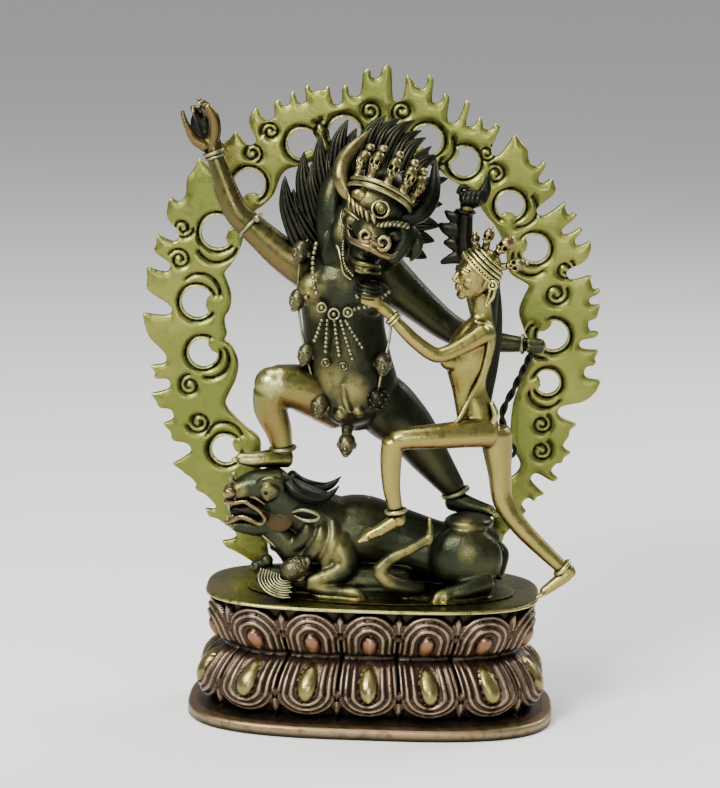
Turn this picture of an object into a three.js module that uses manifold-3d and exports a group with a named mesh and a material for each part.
// Cast brass statue of a buffalo-headed deity with consort, on a bull with a prone man,
// in front of a pierced flame aureole and on a double-lotus plinth.
// Millimetres, +Z up, front faces -Y, origin at the centre of the plinth's underside.
import * as THREE from "three";
import { mergeVertices } from "three/addons/utils/BufferGeometryUtils.js";
import Module from "manifold-3d";

const wasm = await Module();
wasm.setup();

// Driving dimensions
const gap = 0.3; // clearance between two castings that touch
const plinthHeight = 46;
const plinthRim = 66; // half width at the bottom rim
const plinthTop = 60; // half width of the top plate
const plinthNarrowing = 30; // half width less half depth
const plinthSquareness = 3; // exponent of the rounded outline
const rimHeight = 4;
const waistHalfWidth = 52; // between the two rows of petals
const petalCount = 14; // in each row
const columnsPerPetal = 4;
// The two rows: heights of a petal's round tip and of its root, half width at the tips, and bulge.
const lowerPetals = { tip: 6.6, root: 26.2, reach: 58.4, cushion: 3.4 };
const upperPetals = { tip: 43, root: 27.2, reach: 56.6, cushion: 1 };
const petalRings = 4; // steps along a petal
const leafSwell = 3;
const bossSwell = 2.4;
const floorZ = plinthHeight + gap; // where the castings on the plinth begin

const aureoleCentreZ = 130;
const aureoleFront = 24.5; // y of its front face
const aureoleThickness = 2.6;
const aureoleFootInner = 39;
const aureoleFootOuter = 50;
const notchHalf = 1.5; // half width of the round bottom of a notch between two flames

// Flames of the aureole, clockwise from the lower left: angle from the top in degrees,
// reach of the tip from the centre, and depth of the notch beside it.
const flames = [
  [-143, 94.8, 3.6], [-136, 90, 3], [-129, 87, 3], [-122, 88.6, 8.5], [-112, 85, 4.5],
  [-104, 86, 7.4], [-97, 84.2, 5.7], [-84, 87.1, 9.7], [-73, 89.1, 7.4], [-65, 90.2, 7],
  [-56, 92.9, 4], [-45, 94, 7], [-35, 93.5, 7], [-28.5, 97.2, 6.1], [-23.5, 96.4, 3],
  [-20, 97.3, 5], [-16.5, 98, 3], [-12.5, 96, 7], [-8.5, 95.5, 4.4], [-3.5, 100.4, 3.4],
  [0, 101.6, 9], [4.5, 98.4, 9], [9, 99.7, 5.2], [13, 94.6, 4], [18, 94.4, 8.9],
  [22, 90.6, 4.3], [26, 90.9, 3.4], [31, 90.9, 9.8], [40, 89.5, 3.6], [44, 87, 3.8],
  [50.5, 84.8, 9.6], [54, 85.7, 2.6], [58, 84.5, 6.4], [62, 84.9, 4.8], [70, 80.8, 7.9],
  [74, 82.3, 2.6], [78, 81.1, 3.4], [85, 79.5, 3.4], [90, 79.4, 6.6], [98, 81.4, 6.2],
  [111, 77.4, 7.6], [118.5, 80.3, 3.8], [126, 82, 4], [131.5, 81.9, 7.6], [138, 82.2, 3.6],
];

// Inner edge of the aureole, clockwise from the lower left: angle and distance from the centre.
const innerEdge = [
  [-146, 74], [-136, 59], [-123, 58.5], [-110, 59.5], [-97, 52.8], [-84, 57.2], [-74, 57.2],
  [-63, 62.8], [-50, 64.6], [-37, 67.5], [-22, 70.5], [0, 69.5], [20, 67], [36, 60], [60, 56],
  [68, 55.6], [79, 51.6], [92, 52.2], [110, 53.8], [124, 57.5], [135, 65], [146, 76],
];

// Round holes of the aureole: angle, distance of the middle, radius, and the way round the hole
// to the head of the scroll that curls into it, from the right, counterclockwise.
const holes = [
  [-126, 69, 5.2, 20], [-94, 64.6, 5.3, 35], [-78, 68.3, 5.7, -5], [-56, 71.8, 6, -15],
  [-40, 75.2, 5.6, -80], [-22, 78.4, 5.3, -60], [-10.5, 78.4, 5.6, -90], [11.5, 76.6, 5.4, -110],
  [23, 73.6, 5.2, 150], [41, 69.6, 4.9, -95], [56, 66.4, 5, 170], [85, 63, 5.4, 130],
  [101, 62.4, 4.4, 185],
];
const scrollHead = 0.5; // radius of a scroll's round head over that of its hole

const small = { sides: 5, rings: 4 }; // facets of small balls

const brass = { colour: 0x8f9247, roughness: 0.42, metalness: 1 };
const darkBronze = { colour: 0x3d3a2a, roughness: 0.45, metalness: 1 };
const goldenBrass = { colour: 0xa88a4a, roughness: 0.38, metalness: 1 };
const copperBronze = { colour: 0x6b4a38, roughness: 0.4, metalness: 1 };

// A closed geometry as a solid that can be joined and cut.
function solid(geometry) {
  const bare = geometry.clone();
  bare.deleteAttribute("normal");
  bare.deleteAttribute("uv");
  const merged = mergeVertices(bare, 1e-4);
  const corners = merged.index.array;
  const triangles = [];
  for (let i = 0; i < corners.length; i += 3) {
    const [a, b, c] = [corners[i], corners[i + 1], corners[i + 2]];
    if (a !== b && b !== c && c !== a) triangles.push(a, b, c);
  }
  const vertProperties = merged.attributes.position.array;
  const made = (order) =>
    new wasm.Manifold(new wasm.Mesh({ numProp: 3, vertProperties, triVerts: new Uint32Array(order) }));
  const body = made(triangles);
  return body.volume() > 0 ? body : made(triangles.reverse());
}

const join = (pieces) => pieces.reduce((whole, piece) => whole.add(piece));

// A ball or ellipsoid, with an optional turn about Y in degrees.
function ball([x, y, z], radii, { sides = 6, rings = 5, turn = 0 } = {}) {
  const [rx, ry, rz] = Array.isArray(radii) ? radii : [radii, radii, radii];
  const sphere = new THREE.SphereGeometry(1, sides, rings).rotateX(Math.PI / 2);
  return solid(sphere.scale(rx, ry, rz).rotateY(THREE.MathUtils.degToRad(turn)).translate(x, y, z));
}

// A limb: a round bar bent along a smooth line, with a girth radius given at each of its points.
function limb(line, girth, { sides = 6, depth = 1, nub = 0.5 } = {}) {
  const curve = new THREE.CatmullRomCurve3(line.map((point) => new THREE.Vector3(...point)));
  const last = line.length - 1;
  const profile = [new THREE.Vector2(0, -1)];
  for (let ring = 0; ring <= last; ring++) profile.push(new THREE.Vector2(1, ring));
  profile.push(new THREE.Vector2(0, last + 1));
  const bar = new THREE.LatheGeometry(profile, sides);
  const frames = [];
  const side = new THREE.Vector3(0.1, 1, 0.2);
  for (let ring = 0; ring <= last; ring++) {
    const at = curve.getPoint(ring / last);
    const along = curve.getTangent(ring / last);
    side.addScaledVector(along, -side.dot(along)).normalize();
    frames.push({ at, along, side: side.clone(), other: along.clone().cross(side), radius: girth[ring] });
  }
  const place = bar.attributes.position;
  for (let i = 0; i < place.count; i++) {
    const ring = Math.round(place.getY(i));
    const frame = frames[THREE.MathUtils.clamp(ring, 0, last)];
    const offset = new THREE.Vector3();
    if (ring < 0) offset.copy(frame.along).multiplyScalar(-nub * frame.radius);
    else if (ring > last) offset.copy(frame.along).multiplyScalar(nub * frame.radius);
    else {
      offset.addScaledVector(frame.side, place.getX(i) * frame.radius);
      offset.addScaledVector(frame.other, place.getZ(i) * frame.radius);
      offset.y *= depth;
    }
    place.setXYZ(i, frame.at.x + offset.x, frame.at.y + offset.y, frame.at.z + offset.z);
  }
  return solid(bar);
}

// A flat ring, such as a bracelet, whose axis points along a direction.
function ring(centre, axis, radius, wire, sides = 8) {
  const torus = new THREE.TorusGeometry(radius, wire, 4, sides);
  const turn = new THREE.Quaternion();
  turn.setFromUnitVectors(new THREE.Vector3(0, 0, 1), new THREE.Vector3(...axis).normalize());
  return solid(torus.applyQuaternion(turn).translate(...centre));
}

// A place beside the aureole's centre, from an angle off the top and a distance.
function polar(angle, distance) {
  const turn = THREE.MathUtils.degToRad(angle);
  return new THREE.Vector2(Math.sin(turn) * distance, aureoleCentreZ + Math.cos(turn) * distance);
}

// One lick of flame: its tip, the round bottom of the notch beside it with the pulls on both sides
// of it, and the pull of the finger's inner side.
function lick([angle, reach, cut]) {
  const upright = THREE.MathUtils.clamp((Math.abs(angle) - 15) / 25, -0.6, 1);
  const lean = Math.sign(angle) * Math.min(0.3 * cut, 1.8) * upright;
  const half = THREE.MathUtils.radToDeg(Math.min(notchHalf, 0.35 * cut) / reach);
  const beside = (turn) => polar(angle + lean + turn, reach - cut);
  return {
    tip: polar(angle, reach),
    inner: polar(angle + 0.5 * lean, reach - 0.5 * cut),
    notch: beside(0),
    pulls: [beside(-half), beside(half)],
    longPulls: [beside(-2 * half), beside(2 * half)],
  };
}

// The pull that bows a flame's long outer side, between its own tip and the flame below.
function bow([angle, reach], [angleBelow, reachBelow]) {
  return polar(0.5 * (angle + angleBelow), Math.min(reach - 0.6, reachBelow + 0.5));
}

function aureoleOutline() {
  const points = [new THREE.Vector2(-aureoleFootInner, floorZ), new THREE.Vector2(-aureoleFootOuter, floorZ)];
  const runTo = (steps, ...pulls) => {
    const curve = new THREE.CubicBezierCurve(points.at(-1), ...pulls);
    points.push(...curve.getPoints(steps).slice(1));
  };
  const licks = flames.map(lick);
  const top = flames.findIndex(([angle]) => angle >= 0);
  licks.forEach(({ tip, inner, notch, pulls, longPulls }, i) => {
    if (i === 0) points.push(tip);
    else if (i <= top) runTo(2, licks[i - 1].longPulls[1], bow(flames[i], flames[i - 1]), tip);
    else {
      runTo(2, bow(flames[i - 1], flames[i]), longPulls[0], notch);
      runTo(3, pulls[1], inner, tip);
    }
    if (i < top) runTo(3, inner, pulls[0], notch);
  });
  points.push(new THREE.Vector2(aureoleFootOuter, floorZ), new THREE.Vector2(aureoleFootInner, floorZ));
  const inside = [...innerEdge].reverse().map(([angle, distance]) => polar(angle, distance));
  points.push(...new THREE.SplineCurve(inside).getPoints(2 * inside.length));
  return new THREE.Shape(points);
}

// Extruded shapes stand upright: their plane is X-Z and their thickness runs along Y.
function upright(shape, thickness, y) {
  const plate = new THREE.ExtrudeGeometry(shape, { depth: thickness, bevelEnabled: false });
  return solid(plate.rotateX(Math.PI / 2).translate(0, y + thickness, 0));
}

function disc([x, z], radius, sides) {
  const cylinder = new THREE.CylinderGeometry(radius, radius, 4 * aureoleThickness, sides);
  return solid(cylinder.translate(x, aureoleFront, z));
}

function aureole() {
  let plate = upright(aureoleOutline(), aureoleThickness, aureoleFront);
  holes.forEach(([angle, distance, radius, curl]) => {
    const middle = polar(angle, distance);
    const turn = THREE.MathUtils.degToRad(curl);
    const head = new THREE.Vector2(Math.cos(turn), Math.sin(turn)).multiplyScalar(0.95 * radius).add(middle);
    const scroll = disc([head.x, head.y], scrollHead * radius, 6);
    plate = plate.subtract(disc([middle.x, middle.y], radius, 10).subtract(scroll));
  });
  return plate;
}

// A point of the plinth's rounded outline at a turn in radians, for a half width.
function outline(turn, halfWidth) {
  const bulge = (value) => Math.sign(value) * Math.abs(value) ** (2 / plinthSquareness);
  const halfDepth = Math.max(0, halfWidth - plinthNarrowing);
  return new THREE.Vector2(halfWidth * bulge(Math.cos(turn)), halfDepth * bulge(Math.sin(turn)));
}

// Turns that cut the outline into even steps, from the middle of the front.
function evenTurns(count) {
  const fine = 1440;
  const front = -Math.PI / 2;
  const turnAt = (i) => front + (2 * Math.PI * i) / fine;
  const walked = [0];
  for (let i = 1; i <= fine; i++) {
    const step = outline(turnAt(i), plinthTop).distanceTo(outline(turnAt(i - 1), plinthTop));
    walked.push(walked[i - 1] + step);
  }
  const stepOf = (k) => (k / count) * walked[fine];
  return Array.from({ length: count }, (_, k) => turnAt(walked.findIndex((length) => length >= stepOf(k))));
}

// How far a petal swells out of the core, for a place across it (-1 to 1) and along it, from its
// root at the waist (0) to its round tip (1): a cupped leaf with an oval boss in its middle.
function petalSwell(across, along) {
  const half = along < 0.5 ? 1 : Math.sqrt(Math.max(0.02, 1 - (2 * along - 1) ** 2));
  const leaf = Math.max(0, 1 - Math.abs(across / half) ** 2.5);
  const boss = Math.max(0, 1 - (across / 0.5) ** 2 - ((along - 0.52) / 0.42) ** 2);
  return leafSwell * leaf + bossSwell * Math.sqrt(boss);
}

// One ring of a row of petals: half width, height, and the place along a petal.
function petalRing({ tip, root, reach, cushion }, along) {
  const halfWidth = THREE.MathUtils.lerp(waistHalfWidth, reach, along) + cushion * Math.sin(Math.PI * along);
  return [halfWidth, THREE.MathUtils.lerp(root, tip, along), along];
}

// The plinth's rings, from the bottom up.
function plinthRows() {
  const rows = [[0, 0], [plinthRim, 0], [plinthRim, rimHeight], [plinthRim - 5.5, lowerPetals.tip - 0.8]];
  for (let k = petalRings; k >= 0; k--) rows.push(petalRing(lowerPetals, k / petalRings));
  for (let k = 0; k <= petalRings; k++) rows.push(petalRing(upperPetals, k / petalRings));
  return [...rows, [plinthTop, upperPetals.tip + 0.8], [plinthTop, plinthHeight], [0, plinthHeight]];
}

function plinth() {
  const rows = plinthRows();
  const columns = petalCount * columnsPerPetal;
  const turns = evenTurns(columns);
  const body = new THREE.LatheGeometry(rows.map((row, i) => new THREE.Vector2(row[0], i)), columns);
  const place = body.attributes.position;
  const rowCount = rows.length;
  for (let i = 0; i < place.count; i++) {
    const [halfWidth, z, along] = rows[i % rowCount];
    const column = Math.floor(i / rowCount) % columns;
    const at = outline(turns[column], halfWidth);
    if (along !== undefined) {
      const ahead = outline(turns[(column + 1) % columns], halfWidth);
      const behind = outline(turns[(column + columns - 1) % columns], halfWidth);
      const out = new THREE.Vector2(ahead.y - behind.y, behind.x - ahead.x).normalize();
      const share = column / columnsPerPetal;
      at.addScaledVector(out, petalSwell(2 * (share - Math.round(share)), along));
    }
    place.setXYZ(i, at.x, at.y, z);
  }
  return solid(body);
}

function bullHead() {
  const skull = [-36, -8, 82];
  const muzzle = [-50.5, -12, 80.5];
  const jawTip = [-51, -12, 70.8];
  const cheek = [-34.5, -9, 75];
  const hornGirth = [2.6, 2.2, 1.6, 0.3];
  const nearHorn = [[-29, -12, 86], [-23, -14, 82.6], [-17.5, -14.5, 82.2], [-13, -14.5, 84.8]];
  const farHorn = [[-31, -3, 86], [-24, 3, 82.8], [-17.5, 5, 82.2], [-13, 5, 84.8]];
  const ears = [[[-28, -13, 75.5], [-20.5, -15, 73]], [[-28, 0, 75.5], [-20.5, 6, 73]]];
  return [
    limb([[-14, -2, 68], [-25, -5, 75], skull], [12, 9.5, 8.2], { depth: 0.9 }),
    limb([[-34, -8, 83], [-44, -10, 82.5], muzzle], [7.6, 5.6, 3]),
    ball([-36.5, -14.5, 84], [3.6, 2.2, 3.8], small),
    limb([cheek, [-43, -11, 71], jawTip], [4.6, 2.6, 1.4]),
    ...[nearHorn, farHorn].map((horn) => limb(horn, hornGirth, { sides: 4 })),
    ...ears.map((ear) => limb(ear, [2.4, 1.5], { sides: 4 })),
  ];
}

function bullBody() {
  const trunk = [[-15, -1, 66], [-5, 0, 67], [8, 1, 64], [22, 1, 59.5], [36, 0, 58]];
  const legs = [1, -1].flatMap((side) => [
    limb([[-13, -8 * side, 64], [-11, -13 * side, 55], [-23, -16 * side, 50.8]], [7, 4.4, 2.6]),
    limb([[-23, -16 * side, 50.4], [-15, -16.5 * side, 48.8], [-7.5, -17 * side, 48.6]], [2.5, 2.2, 2.6]),
    ball([33, -8 * side, 60], [13.5, 7, 11.5]),
    limb([[40, -10 * side, 52], [27, -16 * side, 48.6]], [4.6, 2.6]),
  ]);
  const tail = limb([[39, 2, 65], [47, 0, 61], [45, -6, 53]], [1.6, 1.6, 1.8], { sides: 4 });
  return [limb(trunk, [12, 13.2, 11.6, 11.5, 11], { sides: 8, depth: 0.95 }), ...legs, tail];
}

function proneMan() {
  return [
    ball([-29, -18, 54.6], [5, 4.2, 4.6]),
    limb([[-40, -13, 53], [-28, -12, 52], [-10, -9, 51], [12, -9, 51]], [2.6, 5, 6, 5]),
    limb([[18, -13, 50], [12, -18, 52], [2.5, -20, 57.6]], [3.6, 3, 2.5]),
    limb([[2.5, -20, 58], [13, -18.6, 65], [19.6, -17.4, 69.5], [20, -16, 76]], [2.3, 2, 1.9, 1]),
  ];
}

function bullGroup() {
  const ground = ball([4, -3, floorZ], [46, 20, 3.2], { sides: 12, rings: 4 });
  const below = new THREE.BoxGeometry(200, 100, 40).translate(0, 0, floorZ - 20);
  return join([ground, ...bullBody(), ...bullHead(), ...proneMan()]).subtract(solid(below));
}

// The deity's crown leans with its head: middle of the band, and the ways across, forward and up.
const crown = {
  middle: new THREE.Vector3(-0.2, -8.7, 188.7),
  across: new THREE.Vector3(0.92, 0, -0.39),
  forward: new THREE.Vector3(0.165, -0.907, 0.388),
  rise: new THREE.Vector3(0.354, 0.422, 0.835),
  radius: 11.4,
  skulls: [-62, -31, 0, 31, 62], // places round the band, from the middle of the front
};

function onCrown(across, forward, rise) {
  const at = crown.middle.clone().addScaledVector(crown.across, across);
  return at.addScaledVector(crown.forward, forward).addScaledVector(crown.rise, rise).toArray();
}

// A skull of the crown and the ball over it, at a place round the band in degrees.
function crownSkull(place) {
  const turn = THREE.MathUtils.degToRad(place);
  const at = (rise) => onCrown(Math.sin(turn) * crown.radius, Math.cos(turn) * crown.radius, rise);
  return limb([at(2), at(8), at(12)], [1.8, 3, 1.3], { sides: 5 });
}

function buffaloHead() {
  const bend = [[9, -1, -3], [15.4, 0, 1], [16.4, 0, 7], [15.2, 0, 13.5], [12.6, -2.4, 22.6]];
  const horns = [-1, 1].map((hand) => {
    const line = bend.map(([across, forward, rise]) => onCrown(hand * across, forward, rise));
    return limb(line, [3.2, 3.1, 2.7, 1.9, 0.3], { sides: 5 });
  });
  return [
    ball([-1.5, -5, 185.6], [12, 11.4, 12.5], { sides: 8, rings: 6 }),
    ring(crown.middle.toArray(), crown.rise.toArray(), crown.radius, 1.8, 10),
    limb([[-2.6, -8, 180], [-3, -15, 177.4], [-1.6, -20.4, 174.8]], [10, 7.4, 5.2]),
    limb([[-5, -8, 171], [-5, -14.5, 167], [-4, -18.5, 165.4]], [7, 5, 3.2]),
    ball([-6.5, -14.4, 189], [3.6, 3.2, 3.6], small),
    ball([7.4, -13, 184], [3.6, 3.2, 3.6], small),
    ball([0.2, -16.6, 185], [3.6, 2, 3.6], small),
    ball([-4, -22.6, 176.8], 2.7, small),
    ball([1, -22.6, 175], 2.7, small),
    ...crown.skulls.map(crownSkull),
    ...horns,
  ];
}

// Upswept tufts of hair: the place where each tuft springs, and its tip.
function hair() {
  const tufts = [
    [[-20, 8, 176], [-34, 6, 194]], [[-18, 8, 180], [-27.5, 6, 202.5]], [[-13, 8, 184], [-22, 7, 208.5]],
    [[-9, 9, 188], [-12.5, 8, 214]], [[-2, 9, 190], [1.5, 8, 216.5]], [[3, 9, 190], [11.5, 8, 214]],
    [[6, 9, 186], [19.5, 8, 203]], [[7, 8, 181], [20.5, 6, 194]], [[6, 7, 175], [21, 6, 185.5]],
    [[3, 7, 170], [19.5, 6, 177.5]],
  ].map(([root, tip]) => {
    const middle = root.map((value, i) => 0.45 * value + 0.55 * tip[i]);
    middle[0] += 0.12 * (root[0] - tip[0]) + 0.6;
    return limb([root, middle, tip], [6.6, 4.2, 0.4], { sides: 4, depth: 0.8 });
  });
  return [ball([-6, 6, 180], [17, 10, 17]), ...tufts];
}

function deityTorso() {
  const spine = [[-9, 6, 166], [-12, 4, 156], [-12.5, 2, 143], [-10.5, 0, 129], [-7.5, 1, 116],
    [-5.5, 3, 109]];
  const heads = [[-28, -1, 168], [-27.6, -2, 151], [-24.6, -5.6, 132], [-19.6, -8, 114], [1.4, -9, 117],
    [2.6, -8.4, 130]];
  return [
    limb(spine, [12, 16.5, 14.6, 15.4, 15.6, 9], { sides: 8, depth: 0.8 }),
    ...heads.map((place) => ball(place, [3, 3, 3.6], small)),
    limb([[-9.6, -2, 107], [-10.2, -6, 103.6], [-10.2, -6.4, 99.6]], [1.2, 2.2, 1.8], { sides: 5 }),
    limb([[-11.8, -10.6, 123], [-9.4, -10.6, 112]], [1.3, 2.6], { sides: 5 }),
  ];
}

function deityArms() {
  const wrist = [-60, 10, 200.5];
  const palm = [-63.5, 10, 209];
  const fingers = [[-71, 8, 216.6], [-66, 6, 220.4], [-61, 7, 216.5], [-59.5, 9, 213.5]].map((tip, i) =>
    limb([[-66.5 + 2 * i, 9, 207.5], tip], [1.8, 0.9], { sides: 4 }));
  const noose = [[54, 9, 134], [51.5, 8, 127], [48.4, 7.5, 119], [44.6, 7.5, 110], [46.5, 7.5, 99]];
  return [
    limb([[-22, 6, 159], [-34, 7, 165], [-45, 8, 174], [-51.5, 9, 180], [-56, 9.5, 190], wrist],
      [8, 6.2, 4.9, 4.6, 3.7, 2.7]),
    limb([wrist, palm], [2.7, 4], { depth: 0.8 }),
    ...fingers,
    limb([[0, 8, 160], [14, 11, 148], [27, 12, 138.5], [42, 12, 135], [55, 9.5, 134.6]],
      [9, 6.6, 5.2, 3.8, 2.4]),
    ball([57, 8.6, 134.6], [3.4, 2.6, 2.8], small),
    limb(noose, [1.1, 1.1, 1.1, 1.3, 1.1], { sides: 4 }),
  ];
}

function deityLegs() {
  return [
    limb([[-13, 3, 113], [-26, -3, 119], [-36.5, -7.5, 122.4]], [10, 8.4, 6]),
    limb([[-37.5, -7, 120], [-36.4, -5.4, 112], [-34, -4, 103], [-33, -3.5, 97.6]], [6, 5.6, 4.4, 3.6]),
    limb([[-31, -3.5, 95], [-40, -7, 94.6], [-48.6, -9, 94.4]], [3.7, 3, 2.4]),
    limb([[2, 4, 113], [12, 6, 103], [20, 8, 92], [28.5, 8.6, 81]], [12, 9, 6.8, 4.2]),
    limb([[28, 9, 77], [35, 5, 75.6], [42, 2, 74.8]], [4, 3.2, 2.2]),
  ];
}

const deity = () => join([...deityTorso(), ...buffaloHead(), ...hair(), ...deityArms(), ...deityLegs()]);

function consortHead() {
  const [headX, headZ] = [35, 162];
  const skulls = [-10, 16, 42, 73].map((angle, i) => {
    const turn = THREE.MathUtils.degToRad(angle);
    const out = (distance) => [headX + distance * Math.sin(turn), -11 + i, headZ + distance * Math.cos(turn)];
    return limb([out(5), out(10), out(13)], [1.6, 1.8, 2.2], { sides: 5 });
  });
  return [
    ball([headX, -10, headZ], [6.8, 5.8, 7.4], { sides: 7, rings: 6, turn: 8 }),
    ball([30.6, -10, 157.6], [3.6, 3.4, 4.4]),
    ball([28, -10, 160], [1.3, 1.1, 1.5], small),
    limb([[40, -14.4, 160.6], [37.6, -15, 154]], [1.8, 0.7], { sides: 5 }),
    ...skulls,
  ];
}

function consortBody() {
  const spine = [[36.6, -9.6, 154], [36.4, -9, 148], [35, -10, 142], [32, -10.6, 133], [32.6, -9.6, 122],
    [35.6, -9.6, 112], [38, -9.6, 105]];
  return [
    limb(spine, [3.4, 3.8, 7, 8.2, 6, 6.8, 6], { sides: 7, depth: 0.75 }),
    ball([25.6, -13, 132.5], [4, 3.8, 3.8], small),
    limb([[36.4, -14.4, 143], [28, -18, 138], [19.8, -20.4, 135.6], [12, -21.4, 142], [5, -22, 149]],
      [3.6, 2.9, 2.7, 2.3, 1.8]),
    ball([-0.6, -22.4, 155], [3.3, 3, 3.4], small),
    limb([[5, -22, 149], [0.5, -22, 153.6]], [1.8, 2.2]),
    limb([[37, -5, 143], [33, -2.6, 156], [29.5, -2, 172], [30, -2, 186.4]], [3.6, 3, 2.6, 2.4]),
    limb([[27, -2, 172], [21, -1.4, 184]], [2.6, 0.5], { sides: 4 }),
    ball([32, -2, 188.6], [4.2, 3.4, 3.8], small),
    limb([[33.4, -2, 190], [36.6, -2, 197]], [2, 0.4], { sides: 4 }),
  ];
}

function consortLegs() {
  return [
    limb([[39, -11, 106.6], [24, -19.4, 106.4], [7.4, -22.4, 105.8]], [5.2, 4.4, 3.7]),
    limb([[6, -22.4, 104], [6.2, -22, 94], [7, -21.4, 83], [9, -21, 77.4]], [3.7, 3.5, 2.6, 2.4]),
    limb([[9.4, -20.8, 76.4], [2, -21.4, 72.4], [-4.4, -22, 69.8]], [2.4, 2, 1.4]),
    limb([[42.5, -8, 105], [43.6, -8, 96], [45, -8, 83], [54, -9, 71], [64.4, -9.4, 60.8], [68.6, -9.8, 57]],
      [5.2, 4.4, 3.5, 3.2, 2.5, 2.4]),
    limb([[70.6, -9.8, 56.4], [64.6, -11, 52.6], [58, -12.4, 48.4]], [2, 2.2, 1.6]),
  ];
}

const consort = () => join([...consortHead(), ...consortBody(), ...consortLegs()]);

function mesh(name, body, { colour, roughness, metalness }) {
  const made = body.getMesh();
  const geometry = new THREE.BufferGeometry();
  geometry.setAttribute("position", new THREE.BufferAttribute(made.vertProperties, 3));
  geometry.setIndex(new THREE.BufferAttribute(made.triVerts, 1));
  geometry.computeVertexNormals();
  const material = new THREE.MeshStandardMaterial({ color: colour, roughness, metalness, flatShading: true });
  const piece = new THREE.Mesh(geometry, material);
  piece.name = name;
  return piece;
}

const statue = new THREE.Group();
statue.add(mesh("lotus_plinth", plinth(), copperBronze));
statue.add(mesh("flame_aureole", aureole(), brass));
statue.add(mesh("bull_and_prone_man", bullGroup(), darkBronze));
statue.add(mesh("deity", deity(), darkBronze));
statue.add(mesh("consort", consort(), goldenBrass));

export default statue;
